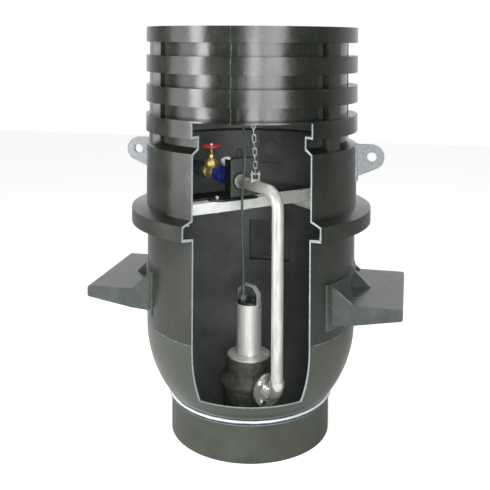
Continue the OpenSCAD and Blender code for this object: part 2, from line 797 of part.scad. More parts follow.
module motor_jacket() {
    color("#cfd0cd") at_pump() tube_z(jacket_z, jacket_top, jacket_r, jacket_r - jacket_wall);
}
module jacket_flange() {
    color("#d9dad7") at_pump() difference() {
        union() {
            difference() {
                union() {
                    translate([0, 0, casing_top]) cylinder(r = disc_r, h = 5);
                    translate([0, 0, casing_top + 5]) cylinder(r1 = disc_r - 1, r2 = jacket_r + 2, h = 4);
                    translate([0, 0, casing_top]) cylinder(r = jacket_r + 2, h = jacket_z + 5 - casing_top);
                }
                translate([0, 0, jacket_z]) cylinder(r = jacket_r + seat, h = 40);
            }
            translate([0, 0, casing_top]) cylinder(r = hub_r, h = hub_top - casing_top);
        }
        translate([0, 0, casing_top - 1]) cylinder(r = lower_seat_r + seat, h = 60);
    }
}
module motor_head() {
    color("#242725") at_pump() difference() {
        union() {
            translate([0, 0, jacket_top - 16]) cylinder(r = jacket_r - jacket_wall - seat, h = 16);
            translate([0, 0, jacket_top]) cylinder(r1 = jacket_r - 1, r2 = jacket_r - 5, h = 8);
            translate([gland_x, gland_y, jacket_top]) cylinder(r = 17, h = 16);
            translate([20, 5, jacket_top]) cylinder(r = 12, h = 13);
        }
        translate([0, 0, jacket_top - 17]) cylinder(r = upper_seat_r + seat, h = 14);
        translate([20, 5, jacket_top + 5]) cylinder(r = 8.1, h = 20);
        translate([gland_x, gland_y, jacket_top + 4]) cylinder(r = 9.2, h = 20);
        rotate([0, 0, handle_turn]) for (side = [-1, 1])
            translate([side * (handle_half + 5) - 5 - side * 5, -strap_w / 2 - 1, jacket_top - 20]) cube([10, strap_w + 2, 60]);
    }
}
module head_plug() {
    color("#5b6060") at_pump() translate([20, 5, jacket_top]) {
        translate([0, 0, 5]) cylinder(r = 8, h = 8);
        hex_z(13, 18, 17);
    }
}
module cable_gland() {
    color("#3c4240") at_pump() translate([gland_x, gland_y, 0]) difference() {
        union() {
            translate([0, 0, jacket_top + 4]) cylinder(r = 9, h = gland_top - jacket_top - 4);
            hex_z(jacket_top + 16, gland_top, 28);
        }
        translate([0, 0, jacket_top]) cylinder(r = cable_d / 2 + 0.1, h = 60);
    }
}
module cable_sleeve() {
    color("#4a524c") at_pump() translate([gland_x, gland_y, gland_top]) difference() {
        cylinder(r1 = 9, r2 = cable_d / 2 + 1, h = sleeve_top - gland_top);
        translate([0, 0, -1]) cylinder(r = cable_d / 2 + 0.1, h = 60);
    }
}
// Flat strap handle, bent at its two shoulders and screwed to the jacket.
module pump_handle() {
    inner = jacket_r + 0.1;
    outer = inner + strap_t;
    shoulder = 24;
    low = jacket_top - 14;
    color("#c9cbca") at_pump() rotate([0, 0, handle_turn]) difference() {
        translate([0, strap_w / 2, 0]) rotate([90, 0, 0]) linear_extrude(strap_w)
            polygon([[-outer, low], [-outer, handle_top - 24], [-shoulder, handle_top], [shoulder, handle_top],
                [outer, handle_top - 24], [outer, low], [inner, low], [inner, handle_top - 26],
                [shoulder - 1, handle_top - strap_t], [1 - shoulder, handle_top - strap_t],
                [-inner, handle_top - 26], [-inner, low]]);
        for (side = [-1, 1]) translate([side * outer, 0, low + 8]) rotate([0, side * -90, 0])
            translate([0, 0, -1]) cylinder(r = 3.2, h = 8);
    }
}
module handle_screws() {
    color("#d5d6d4") at_pump() rotate([0, 0, handle_turn]) for (side = [-1, 1])
        translate([side * (jacket_r + strap_t + 0.1), 0, jacket_top - 6]) rotate([0, side * 90, 0]) {
            cylinder(r = 5, h = 3);
            translate([0, 0, -strap_t]) cylinder(r = 3, h = strap_t + 1);
        }
}

// Motor inside the jacket.
module motor_stator() {
    slot_count = 12;
    color("#7d6b52") at_pump() difference() {
        translate([0, 0, 350]) cylinder(r = stator_r, h = 90);
        translate([0, 0, 349]) cylinder(r = rotor_r + 1, h = 92);
        for (k = [0:slot_count - 1]) rotate([0, 0, k * 360 / slot_count])
            translate([rotor_r - 2, -2, 349]) cube([12, 4, 92]);
    }
}
module rotor_shaft() {
    color("#b9bbb9") at_pump() {
        translate([0, 0, 182]) cylinder(r = shaft_r, h = jacket_top - 6 - 182);
        translate([0, 0, 332]) cylinder(r = shaft_r + 3, h = 12);
    }
}
module rotor_core() {
    color("#8b8d8c") at_pump() tube_z(352, 438, rotor_r, shaft_r);
}
module motor_bearings() {
    color("#a9abaa") at_pump() for (z = [motor_floor + 10, jacket_top - 16])
        tube_z(z, z + 10, z > 400 ? upper_seat_r : lower_seat_r, shaft_r + seat);
}
module shaft_seal() {
    color("#2b2b2b") at_pump() {
        tube_z(casing_top - 12, casing_top + 18, lower_seat_r, shaft_r + 0.08);
    }
}
module impeller() {
    blade_count = 5;
    blade_r = 34;
    color("#8c9091") at_pump() {
        tube_z(188, 258, 16, shaft_r);
        tube_z(250, 256, impeller_r, 12);
        for (k = [0:blade_count - 1]) rotate([0, 0, k * 360 / blade_count])
            translate([0, blade_r, 222]) rotate([0, 0, -76]) rotate_extrude(angle = 96)
                translate([blade_r - 2, 0]) square([4, 30]);
    }
}

pipe_flange_x = 128;
flange_t = 8;
gasket_t = 2;
flange_bolt_turn = 11;
flange_bolt_r = 43;
casing_wall = 7;
bore_r = 20;
module casing_form(t) {
    rotate_extrude($fn = 96) polygon([[0, casing_top - t], [casing_neck_r - t, casing_top - t],
        [casing_neck_r - t, 244 - t * 0.4], [bell_r - 5 - t, 222 - t * 0.6], [bell_r - t, 216 - t * 0.4],
        [bell_r - t, casing_z + t * 0.6], [bell_r - 4 - t, 200 + t * 0.6], [bell_r - 8 - t, 196],
        [bell_r - 9 - t, 184], [bell_r - 14 - t, 180], [bell_r - 15 - t, 160 + t], [0, 160 + t]]);
}
module volute_casing() {
    color("#2c302c") at_pump() difference() {
        union() {
            casing_form(0);
            translate([0, 0, outlet_z]) bar_x(40, pipe_flange_x, 33);
            translate([0, 0, outlet_z]) bar_x(pipe_flange_x - 10, pipe_flange_x, flange_r - 3);
            translate([60, -30, outlet_z]) cube([pipe_flange_x - 22 - 60, 60, 40]);
        }
        casing_form(casing_wall);
        translate([0, 0, 100]) cylinder(r = 40, h = 100);
        translate([0, 0, 280]) cylinder(r = lower_seat_r + seat, h = 40);
        translate([0, 0, outlet_z]) bar_x(60, pipe_flange_x + 1, bore_r);
        flange_holes(pipe_flange_x - 12);
    }
}
module flange_holes(x) {
    for (k = [0:3]) translate([x, 0, outlet_z]) rotate([45 + flange_bolt_turn + 90 * k, 0, 0])
        translate([0, 0, flange_bolt_r]) rotate([0, 90, 0]) cylinder(r = 5.4, h = 40);
}
module suction_strainer() {
    slot_count = 18;
    color("#232623") at_pump() difference() {
        union() {
            tube_z(112, 160, bell_r - 17, 36);
            for (k = [0:2]) rotate([0, 0, 60 + k * 120]) translate([78, 0, 98]) cylinder(r = 12, h = 20);
        }
        translate([0, 0, 120]) cylinder(r = bell_r - 24, h = 33);
        for (k = [0:slot_count - 1]) rotate([0, 0, k * 360 / slot_count])
            translate([bell_r - 40, -5, 120]) cube([40, 10, 30]);
    }
}
module discharge_gasket() {
    color("#141414") at_pump() translate([0, 0, outlet_z])
        tube_x(pipe_flange_x, pipe_flange_x + gasket_t, flange_bolt_r - 7, bore_r + 1);
}
module flange_elbow() {
    face = pipe_flange_x + gasket_t;
    color("#c9c9c4") at_pump() difference() {
        union() {
            translate([0, 0, outlet_z]) bar_x(face, face + flange_t, flange_r);
            translate([0, 0, outlet_z]) bar_x(face, pump_gap - elbow_r + 1, elbow_pipe_r + 1);
            translate([pump_gap - elbow_r, 0, outlet_z + elbow_r])
                quarter_bend(elbow_r, elbow_pipe_r, -90);
            translate([pump_gap, 0, outlet_z + elbow_r - 1]) cylinder(r = elbow_pipe_r + 3, h = 17);
        }
        translate([0, 0, outlet_z]) bar_x(face - 1, pump_gap - elbow_r + 1, pipe_r - pipe_wall + 0.4);
        translate([pump_gap - elbow_r, 0, outlet_z + elbow_r])
            quarter_bend(elbow_r, pipe_r - pipe_wall, -90);
        translate([pump_gap, 0, outlet_z + elbow_r - 1]) cylinder(r = pipe_r - pipe_wall + 0.4, h = 30);
        translate([pump_gap, 0, riser_low]) cylinder(r = pipe_r + 0.1, h = 30);
        flange_holes(face - 1);
    }
}
module flange_bolts() {
    x1 = pipe_flange_x + gasket_t + flange_t;
    color("#d6d7d4") at_pump() for (k = [0:3])
        translate([0, 0, outlet_z]) rotate([45 + flange_bolt_turn + 90 * k, 0, 0]) translate([0, 0, flange_bolt_r])
            rotate([0, 90, 0]) {
                translate([0, 0, pipe_flange_x - 20]) cylinder(r = 5, h = x1 - pipe_flange_x + 22);
                hex_z(x1, x1 + 7, 16);
                hex_z(pipe_flange_x - 18, pipe_flange_x - 10, 16);
            }
}

// Pump cable: from the gland up past the coupling to the coil that hangs on the neck rail.
gland_place = [(pump_x + gland_x) * cos(line_turn) - (line_y + gland_y) * sin(line_turn),
    (pump_x + gland_x) * sin(line_turn) + (line_y + gland_y) * cos(line_turn)];
coil_z = 1296;
coil_mid_r = 308;
coil_half_w = 20;
coil_half_h = 22;
cable_points = [[gland_place[0], gland_place[1], jacket_top + 6], [gland_place[0], gland_place[1], 540],
    [gland_place[0], gland_place[1], 600], [-5, -121, 680], [-8, -121, 760], [-9, -121, 840], [-8, -121, 900],
    [-2, -122, 960], [2, -126, 1020], [3.5, -134, 1075], [4.5, -156, 1122], [4.4, -192, 1151],
    [2.8, -230, 1166], [0.8, -265.5, 1178], [-1.5, -292, 1201], [-3.6, -302.7, 1236], [-4.1, -304.7, 1276]];

// A smooth curve through the route's points, and a tube swept along it.
function unit(v) = v / norm(v);
function curve_point(p, i, t) =
    let (a = p[max(i - 1, 0)], b = p[i], c = p[i + 1], d = p[min(i + 2, len(p) - 1)])
    0.5 * (2 * b + (c - a) * t + (2 * a - 5 * b + 4 * c - d) * t * t + (3 * b - a - 3 * c + d) * t * t * t);
function smooth_route(p, steps) = concat(
    [for (i = [0:len(p) - 2], k = [0:steps - 1]) curve_point(p, i, k / steps)], [p[len(p) - 1]]);
module swept_tube(route, r, sides) {
    n = len(route);
    rings = [for (i = [0:n - 1])
        let (along = unit(route[min(i + 1, n - 1)] - route[max(i - 1, 0)]),
            side = unit(cross(along, [1, 0, 0])),
            other = cross(along, side))
        for (k = [0:sides - 1]) route[i] + r * (cos(k * 360 / sides) * side + sin(k * 360 / sides) * other)];
    polyhedron(rings, concat(
        [[for (k = [0:sides - 1]) k]],
        [for (i = [0:n - 2], k = [0:sides - 1])
            [i * sides + k, (i + 1) * sides + k, (i + 1) * sides + (k + 1) % sides, i * sides + (k + 1) % sides]],
        [[for (k = [sides - 1:-1:0]) (n - 1) * sides + k]]));
}
module pump_cable() { color("#59635c") swept_tube(smooth_route(cable_points, 3), cable_d / 2, 8); }

module at_coil() { rotate([0, 0, coil_turn]) translate([coil_mid_r, 0, coil_z]) children(); }
module cable_coil() {
    color("#59635c") at_coil() rotate([0, 90, 0]) rotate_extrude($fn = 96)
        translate([coil_r - coil_half_h, -coil_half_w]) square([2 * coil_half_h, 2 * coil_half_w]);
}
// Strap round the coil with an open hook that sits on the rail.
module cable_tie() {
    band = 2;
    hook_r = rail_r - hook_arc - coil_mid_r;
    top = coil_r + coil_half_h + band;
    color("#1b1b1b") at_coil() {
        difference() {
            translate([-coil_half_w - band, -8, coil_r - coil_half_h - band])
                cube([2 * (coil_half_w + band), 16, 2 * (coil_half_h + band)]);
            translate([-coil_half_w - 0.2, -9, coil_r - coil_half_h - 1.4])
                cube([2 * coil_half_w + 0.4, 18, 2 * coil_half_h + 1.8]);
        }
        translate([hook_r, 0, top - 1]) cylinder(r = 2.8, h = rail_z - coil_z - top + 1.6);
        translate([rail_r - coil_mid_r, 0, rail_z - coil_z]) rotate([0, -10, 0]) half_ring(hook_arc, 2.4, 170);
    }
}

tank_shell();
foot_ring();
foot_weld();
buoyancy_wing_right();
buoyancy_wing_left();
lifting_lug_right();
lifting_lug_left();
cross_beam();
beam_support_right();
beam_support_left();
beam_bolts();
coupling_body();
valve_nipples();
check_valve_body();
check_valve_ball();
check_valve_cap();
gate_valve_body();
gate_valve_bonnet();
packing_nut();
gate_stem();
gate_wedge();
handwheel();
handwheel_nut();
pipe_union();
outlet_pipe();
wall_collar();
coupling_plate();
coupling_seal();
pipe_gasket();
riser_pipe();
pipe_bracket();
bracket_pin();
lifting_chain();
chain_end_hook();
neck_hangers();
motor_jacket();
jacket_flange();
motor_head();
head_plug();
cable_gland();
pump_handle();
handle_screws();
motor_stator();
rotor_shaft();
rotor_core();
motor_bearings();
shaft_seal();
impeller();
volute_casing();
suction_strainer();
discharge_gasket();
flange_elbow();
flange_bolts();
cable_sleeve();
pump_cable();
cable_coil();
cable_tie();
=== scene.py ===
# %% [markdown]
# # A sewage lifting station
# The object is a domed polyethylene chamber, about 0.9 m across and 1.5 m high, with its front cut away.
# Inside, a small pump hangs from a raised coupling on a cross beam, with a check valve and a gate valve
# behind it. All hard pieces come from the CAD model. This lesson loads them, gives each the finish
# of the real material, and makes what a solid modeller does poorly: ten metres of loose cable.

# %% Load the frame
import math
import bpy
import bmesh
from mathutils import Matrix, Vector


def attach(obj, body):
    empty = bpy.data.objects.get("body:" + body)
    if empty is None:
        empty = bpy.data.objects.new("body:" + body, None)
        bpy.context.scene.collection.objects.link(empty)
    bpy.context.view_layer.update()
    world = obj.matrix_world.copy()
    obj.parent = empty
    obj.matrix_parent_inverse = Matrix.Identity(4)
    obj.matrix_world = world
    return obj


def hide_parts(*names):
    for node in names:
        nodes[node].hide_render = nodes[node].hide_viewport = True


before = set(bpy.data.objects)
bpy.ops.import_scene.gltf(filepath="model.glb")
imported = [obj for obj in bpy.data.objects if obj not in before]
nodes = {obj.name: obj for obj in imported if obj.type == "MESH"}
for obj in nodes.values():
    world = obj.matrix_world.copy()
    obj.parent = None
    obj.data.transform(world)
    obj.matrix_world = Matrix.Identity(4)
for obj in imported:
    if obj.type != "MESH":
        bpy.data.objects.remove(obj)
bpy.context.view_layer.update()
print("pieces from the CAD model:", len(nodes))

# %% [markdown]
# The photographer stood a little to the right of the cut-out, level with the chamber's rim. Because the
# camera looked straight ahead, upright edges stay upright, and the chamber sits low in the frame. Blender
# does that with a lens shift instead of a tilt, as an architect's shift lens does.

# %% Camera
TURN = math.radians(12)
DISTANCE = 2.865
RIM_HEIGHT = 1.452
camera_data = bpy.data.cameras.new("camera")
camera_data.sensor_width = 36
camera_data.lens = 55.1
camera_data.shift_x = -0.015
camera_data.shift_y = -0.418
camera = bpy.data.objects.new("camera", camera_data)
camera.location = (DISTANCE * math.sin(TURN), -DISTANCE * math.cos(TURN), RIM_HEIGHT)
camera.rotation_euler = (math.radians(90), math.radians(-0.35), TURN)
bpy.context.scene.collection.objects.link(camera)
bpy.context.scene.camera = camera
print("camera at", tuple(round(v, 3) for v in camera.location))

# %% [markdown]
# The pump's cable is 9 mm thick and ten metres long, as such pumps are delivered. It leaves the gland
# straight up, runs past the coupling, and what isn't needed yet hangs as a coil on a hook in the neck.
# A curve with a round bevel is the natural choice: its line is the cable's middle, so its length is exact.
# The thickness goes on the points and not on the bevel, since a curve's box grows by its points' radius.

# %% Cable: the route from the gland to the coil
CABLE_R = 0.0045
GLAND = (-0.00277, -0.12018)
route = [(*GLAND, 0.552), (*GLAND, 0.575), (*GLAND, 0.600), (-0.0036, -0.1205, 0.640),
    (-0.005, -0.121, 0.680), (-0.007, -0.121, 0.720), (-0.008, -0.121, 0.760), (-0.009, -0.121, 0.840),
    (-0.008, -0.121, 0.900), (-0.002, -0.122, 0.960), (0.002, -0.126, 1.020), (0.0035, -0.134, 1.075),
    (0.0045, -0.156, 1.122), (0.0044, -0.192, 1.151), (0.0028, -0.230, 1.166), (0.0008, -0.2655, 1.178),
    (-0.0015, -0.292, 1.201), (-0.0036, -0.3027, 1.236)]
print("points up to the coil:", len(route))

# %% [markdown]
# A coil in the hand grows turn by turn, in layers. Each turn keeps to its own place in the stack and then
# crosses to the next place in a short stretch. At a corner of the stack the later turn has to move first,
# or the two would pass through each other, so every layer has its own stretch of the circle to cross in.

# %% Cable: the coil
COIL_TURN = math.radians(-106)
COIL_OUT = 0.308
COIL_Z = 1.296
MEAN_R = 0.080
PITCH = 0.00915
START = math.radians(-14)
stack = [(0, r) for r in (2, 3, 4)] + [(1, r) for r in (4, 3, 2, 1, 0)] + \
    [(2, r) for r in (0, 1, 2, 3, 4)] + [(3, r) for r in (4, 3, 2, 1, 0)]
layers = [0, 0, 1] + [2] * 4 + [3] + [4] * 4 + [5] + [6] * 5
STEPS = 24

def coil_point(column, row, angle):
    ring = MEAN_R + (row - 2) * PITCH
    out = COIL_OUT + (column - 1.5) * PITCH
    side, up = ring * math.cos(angle), ring * math.sin(angle)
    return (out * math.cos(COIL_TURN) - side * math.sin(COIL_TURN),
        out * math.sin(COIL_TURN) + side * math.cos(COIL_TURN), COIL_Z + up)

def smooth(t):
    t = min(max(t, 0), 1)
    return t * t * (3 - 2 * t)

for k, (column, row) in enumerate(stack):
    after = stack[min(k + 1, len(stack) - 1)]
    begin = 0.86 - 0.125 * layers[k]
    for s in range(STEPS):
        share = smooth((s / STEPS - begin) / 0.125)
        angle = START + 2 * math.pi * s / STEPS
        column_now, row_now = column + share * (after[0] - column), row + share * (after[1] - row)
        route.append(coil_point(column_now, row_now, angle))
route = route[:-2]
length = sum((Vector(a) - Vector(b)).length for a, b in zip(route, route[1:]))
print("turns:", len(stack), "cable length in metres:", round(length, 3))

# %% Cable: the curve itself
cable_data = bpy.data.curves.new("cable", "CURVE")
cable_data.dimensions = "3D"
cable_data.bevel_depth = 1.0
cable_data.bevel_resolution = 4
cable_data.resolution_u = 3
cable_data.use_fill_caps = True
line = cable_data.splines.new("BEZIER")
line.bezier_points.add(len(route) - 1)
for point, place in zip(line.bezier_points, route):
    point.co = place
    point.radius = CABLE_R
    point.handle_left_type = point.handle_right_type = "AUTO"
cable = bpy.data.objects.new("cable", cable_data)
bpy.context.scene.collection.objects.link(cable)
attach(cable, "pump_unit")
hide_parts("pump_cable", "cable_coil")

# %% [markdown]
# The vent port in the chamber's back wall is delivered shut, by a flat plug with a raised rim that sits on
# the inner face. It is a profile turned round the port's axis: each pair is a radius and a depth from the
# wall, in metres, and a negative depth lies in the hole.

# %% Vent plug
PORT_Z, WALL_FACE = 0.988, 0.400
profile = [(0.0, -0.0075), (0.0105, -0.0075), (0.0105, 0.0002), (0.035, 0.0002), (0.035, 0.010),
    (0.034, 0.012), (0.029, 0.012), (0.028, 0.0095), (0.0, 0.0095)]
TURNS = 64
corners = [(radius * math.cos(2 * math.pi * k / TURNS), WALL_FACE - depth,
    PORT_Z + radius * math.sin(2 * math.pi * k / TURNS)) for radius, depth in profile for k in range(TURNS)]
steps = [(row * TURNS, (row + 1) * TURNS) for row in range(len(profile) - 1)]
sides = [(near + k, near + (k + 1) % TURNS, far + (k + 1) % TURNS, far + k)
    for near, far in steps for k in range(TURNS)]
plug_mesh = bpy.data.meshes.new("vent_plug")
plug_mesh.from_pydata(corners, [], sides)
closed = bmesh.new()
closed.from_mesh(plug_mesh)
bmesh.ops.remove_doubles(closed, verts=closed.verts, dist=1e-6)
bmesh.ops.recalc_face_normals(closed, faces=closed.faces)
closed.to_mesh(plug_mesh)
closed.free()
vent_plug = bpy.data.objects.new("vent_plug", plug_mesh)
bpy.context.scene.collection.objects.link(vent_plug)
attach(vent_plug, "root")
print("vent plug corners:", len(plug_mesh.vertices))

# %% [markdown]
# Every finish below is written with the colours a person would pick from a swatch, as sRGB hex values. A
# renderer works with linear light, so one function turns the first into the second. One more small
# function adds a node, sets its values and makes its links, which keeps each recipe readable.

# %% Two helpers for materials
def linear(hex_colour):
    values = [int(hex_colour[i:i + 2], 16) / 255 for i in (1, 3, 5)]
    return [v / 12.92 if v <= 0.04045 else ((v + 0.055) / 1.055) ** 2.4 for v in values] + [1]

def add(tree, kind, sockets=None, **settings):
    node = tree.nodes.new(kind)
    for key, value in settings.items():
        setattr(node, key, value)
    for key, value in (sockets or {}).items():
        if isinstance(value, bpy.types.NodeSocket):
            tree.links.new(value, node.inputs[key])
        else:
            node.inputs[key].default_value = value
    return node

# %% [markdown]
# Most surfaces of this object share one story. A colour drifts softly between two tones over some
# centimetres, gloss drifts with it, and a fine relief breaks up reflections. What tells moulded plastic
# from cast iron is the size of that drift, how rough it is, and how deep the relief is. So one recipe
# takes those sizes in millimetres, and special marks are added to its result afterwards.

# %% The shared recipe
MM = 0.001

def finish(name, dark, light, drift_mm, rough, metallic=0.0, relief_mm=0.0, grain_mm=1.0, stretch=(1, 1, 1),
        coat=0.0, shine=0.5):
    material = bpy.data.materials.new(name)
    material.use_nodes = True
    tree = material.node_tree
    tree.nodes.clear()
    place = add(tree, "ShaderNodeTexCoord").outputs["Object"]
    along = add(tree, "ShaderNodeMapping", {"Vector": place, "Scale": stretch}).outputs[0]
    drift = add(tree, "ShaderNodeTexNoise", {"Vector": along, "Scale": 1 / (drift_mm * MM), "Detail": 5,
        "Roughness": 0.6}).outputs["Fac"]
    even = add(tree, "ShaderNodeMapRange", {"Value": drift, "From Min": 0.32, "From Max": 0.68}).outputs[0]
    tone = add(tree, "ShaderNodeMix", {"Factor": even, 6: linear(dark), 7: linear(light)},
        data_type="RGBA").outputs[2]
    gloss = add(tree, "ShaderNodeMapRange", {"Value": drift, "From Min": 0.3, "From Max": 0.7,
        "To Min": rough[0], "To Max": rough[1]}).outputs[0]
    shader = add(tree, "ShaderNodeBsdfPrincipled", {"Base Color": tone, "Roughness": gloss,
        "Metallic": metallic, "Coat Weight": coat, "Specular IOR Level": shine}, name="shader")
    if relief_mm:
        grain = add(tree, "ShaderNodeTexNoise", {"Vector": along, "Scale": 1 / (grain_mm * MM), "Detail": 3})
        bump = add(tree, "ShaderNodeBump", {"Height": grain.outputs["Fac"], "Distance": relief_mm * MM,
            "Strength": 1.0})
        tree.links.new(bump.outputs[0], shader.inputs["Normal"])
    add(tree, "ShaderNodeOutputMaterial", {"Surface": shader.outputs[0]})
    return material

def use(material, *names):
    for name in names:
        slots = nodes[name].data.materials
        slots.clear()
        slots.append(material)

# %% [markdown]
# The chamber is rotationally moulded polyethylene. Powder melts against a steel mould, so the skin is
# smooth but never quite flat, and a few centimetres of soft waviness bends each reflection. Plastic this
# dark gets its whole look from reflections, so its own colour stays near black.

# %% Rotationally moulded polyethylene
moulded = finish("moulded_polyethylene", "#121510", "#1f231c", 110, (0.17, 0.30), relief_mm=0.6,
    grain_mm=45, shine=0.6)
tree = moulded.node_tree
shader = tree.nodes["shader"]
place = add(tree, "ShaderNodeTexCoord").outputs["Object"]
axes = add(tree, "ShaderNodeSeparateXYZ", {"Vector": place}).outputs
tone = shader.inputs["Base Color"].links[0].from_socket

def tint(tree, below, share, colour):
    return add(tree, "ShaderNodeMix", {"Factor": share, 6: below, 7: linear(colour)},
        data_type="RGBA").outputs[2]

def band(tree, value, middle, half_mm, soft_mm=0.6):
    offset = add(tree, "ShaderNodeMath", {0: value, 1: middle}, operation="SUBTRACT").outputs[0]
    distance = add(tree, "ShaderNodeMath", {0: offset}, operation="ABSOLUTE").outputs[0]
    return add(tree, "ShaderNodeMapRange", {"Value": distance, "From Min": half_mm * MM,
        "From Max": (half_mm + soft_mm) * MM, "To Min": 1.0, "To Max": 0.0}).outputs[0]

# %% [markdown]
# The mould has three parts, with a fine step where the lower one met the body. Below that step the dome
# is painted paler and more olive, a painted reflection of the white floor in the downward-facing dome. The
# two upper halves met at the front, where a thin raised seam runs down the rings. Each seam is a band on
# one axis, a few tenths of a millimetre soft.

# %% Painted floor reflection on the dome, and mould seams
DOME_SEAM = 0.418
# Below the seam the dome is painted paler and more olive: a painted reflection of the white floor.
dome = add(tree, "ShaderNodeMapRange", {"Value": axes["Z"], "From Min": DOME_SEAM - 1 * MM,
    "From Max": DOME_SEAM, "To Min": 1.0, "To Max": 0.0}).outputs[0]
tone = tint(tree, tone, dome, "#353a30")
crumble = add(tree, "ShaderNodeTexNoise", {"Vector": place, "Scale": 1 / (14 * MM),
    "Detail": 4}).outputs["Fac"]
worn = add(tree, "ShaderNodeMapRange", {"Value": crumble, "From Min": 0.40, "From Max": 0.62,
    "To Min": 0.15, "To Max": 0.75}).outputs[0]
level_seam = add(tree, "ShaderNodeMath", {0: band(tree, axes["Z"], DOME_SEAM, 0.9), 1: worn},
    operation="MULTIPLY").outputs[0]
tone = tint(tree, tone, level_seam, "#7f8781")
RINGS_FOOT = 1.10
SEAM_X = 0.011
front = add(tree, "ShaderNodeMath", {0: axes["Y"], 1: 0.0}, operation="LESS_THAN").outputs[0]
high = add(tree, "ShaderNodeMath", {0: axes["Z"], 1: RINGS_FOOT}, operation="GREATER_THAN").outputs[0]
front = add(tree, "ShaderNodeMath", {0: front, 1: high}, operation="MULTIPLY").outputs[0]
upright_seam = add(tree, "ShaderNodeMath", {0: band(tree, axes["X"], SEAM_X, 0.6), 1: front},
    operation="MULTIPLY").outputs[0]
upright_seam = add(tree, "ShaderNodeMath", {0: upright_seam, 1: worn}, operation="MULTIPLY").outputs[0]
tone = tint(tree, tone, upright_seam, "#7b837d")

# %% [markdown]
# Handling leaves pale scuffs that run mostly upright, and a few short scratches. Both come from stretched
# noise of which only the highest peaks are kept, so most of the skin stays clean.

# %% Scuffs and scratches
upright = add(tree, "ShaderNodeMapping", {"Vector": place, "Scale": (1, 1, 0.10)}).outputs[0]
rub = add(tree, "ShaderNodeTexNoise", {"Vector": upright, "Scale": 1 / (7 * MM), "Detail": 6,
    "Roughness": 0.7})
rubbed = add(tree, "ShaderNodeMapRange", {"Value": rub.outputs["Fac"], "From Min": 0.58, "From Max": 0.82,
    "To Max": 0.22}).outputs[0]
tone = tint(tree, tone, rubbed, "#6d7671")
fine = add(tree, "ShaderNodeMapping", {"Vector": place, "Scale": (0.35, 0.35, 1)}).outputs[0]
nick = add(tree, "ShaderNodeTexNoise", {"Vector": fine, "Scale": 1 / (3.5 * MM), "Detail": 2})
nicked = add(tree, "ShaderNodeMapRange", {"Value": nick.outputs["Fac"], "From Min": 0.75, "From Max": 0.79,
    "To Max": 0.6}).outputs[0]
tone = tint(tree, tone, nicked, "#a9b0ab")
tree.links.new(tone, shader.inputs["Base Color"])
use(moulded, "tank_shell", "wall_collar")

# %% [markdown]
# Where the saw cut the wall, fresh polyethylene shows. Its edge is paler and rougher than the skin. The
# cut faces belong to the shell's own mesh, so they get a second material slot, chosen by where they lie.

# %% Sawn edge of the wall
sawn = finish("sawn_polyethylene", "#828d8e", "#abb5b7", 9, (0.50, 0.66), relief_mm=0.15, grain_mm=1.2)
CUT_LOW, CUT_HIGH = 0.212, 1.172
CUT_SIDES = [math.radians(-108.7), math.radians(-47)]
shell = nodes["tank_shell"].data
shell.materials.append(sawn)
marked = 0
for face in shell.polygons:
    middle, normal = face.center, face.normal
    level = abs(normal.z) > 0.99 and min(abs(middle.z - CUT_LOW), abs(middle.z - CUT_HIGH)) < 0.0006
    upright = any(abs(middle.x * math.sin(a) - middle.y * math.cos(a)) < 0.0006
        and abs(normal.x * math.sin(a) - normal.y * math.cos(a)) > 0.99 for a in CUT_SIDES)
    if middle.y < 0 and CUT_LOW - 0.001 < middle.z < CUT_HIGH + 0.001 and (level or upright):
        face.material_index = 1
        marked += 1
print("cut faces marked:", marked)

# %% [markdown]
# The inside of such a moulding never touches a mould. It cools in air, so it is duller and greyer than the
# outside, and its tone is painted paler still: painted light that brightens the dim inside. Faces that look
# towards the chamber's axis get a third slot, and so does the dome's inside, with the same recipe but a
# paler tone and more roughness.

# %% Inner skin, partly painted fill light
# Its pale tones are partly the matt inner skin and partly painted light that brightens the dim inside.
inner_skin = finish("inner_skin", "#474949", "#5d6060", 120, (0.36, 0.50), relief_mm=0.7, grain_mm=60,
    shine=0.5)
shell.materials.append(inner_skin)
plug_mesh.materials.append(inner_skin)
DOME_MIDDLE, DOME_INSIDE_R = Vector((0, 0, 0.402)), 0.387
LEDGES_FROM, LEDGES_TO = 0.20, 1.49
inside = 0
for face in shell.polygons:
    middle, normal = face.center, face.normal
    outwards = middle.x * normal.x + middle.y * normal.y
    towards_axis = outwards < -0.05 * middle.xy.length
    ledge = abs(normal.z) > 0.9 and LEDGES_FROM < middle.z < LEDGES_TO
    near_dome = middle.z < DOME_MIDDLE.z and (middle - DOME_MIDDLE).length < DOME_INSIDE_R
    in_dome = near_dome and normal.z > 0
    if face.material_index == 0 and (towards_axis and not ledge or in_dome):
        face.material_index = 2
        inside += 1
print("inner faces:", inside)

# %% [markdown]
# Foot, wings and weld beads are polyethylene too, but from sheet and extruded rod. They are matt and a
# little greener. The lifting lugs are pale sheet with a granular face.

# %% Sheet, rod and lug plate
sheet_pe = finish("polyethylene_sheet", "#2a312d", "#3b443f", 45, (0.18, 0.32), relief_mm=0.3, grain_mm=26,
    shine=0.6)
use(sheet_pe, "buoyancy_wing_right", "buoyancy_wing_left")
pipe_pe = finish("polyethylene_pipe", "#373b33", "#44483e", 90, (0.34, 0.48), relief_mm=0.2, grain_mm=30,
    shine=0.35)
use(pipe_pe, "foot_ring")
weld_rod = finish("extruded_weld_rod", "#3b4346", "#8c9aa0", 24, (0.14, 0.28), relief_mm=0.9, grain_mm=9)
use(weld_rod, "foot_weld")
tree = weld_rod.node_tree
place = add(tree, "ShaderNodeTexCoord").outputs["Object"]
height = add(tree, "ShaderNodeSeparateXYZ", {"Vector": place}).outputs["Z"]
rod_tone = tree.nodes["shader"].inputs["Base Color"].links[0].from_socket
WELD_MIDDLE = 0.1385
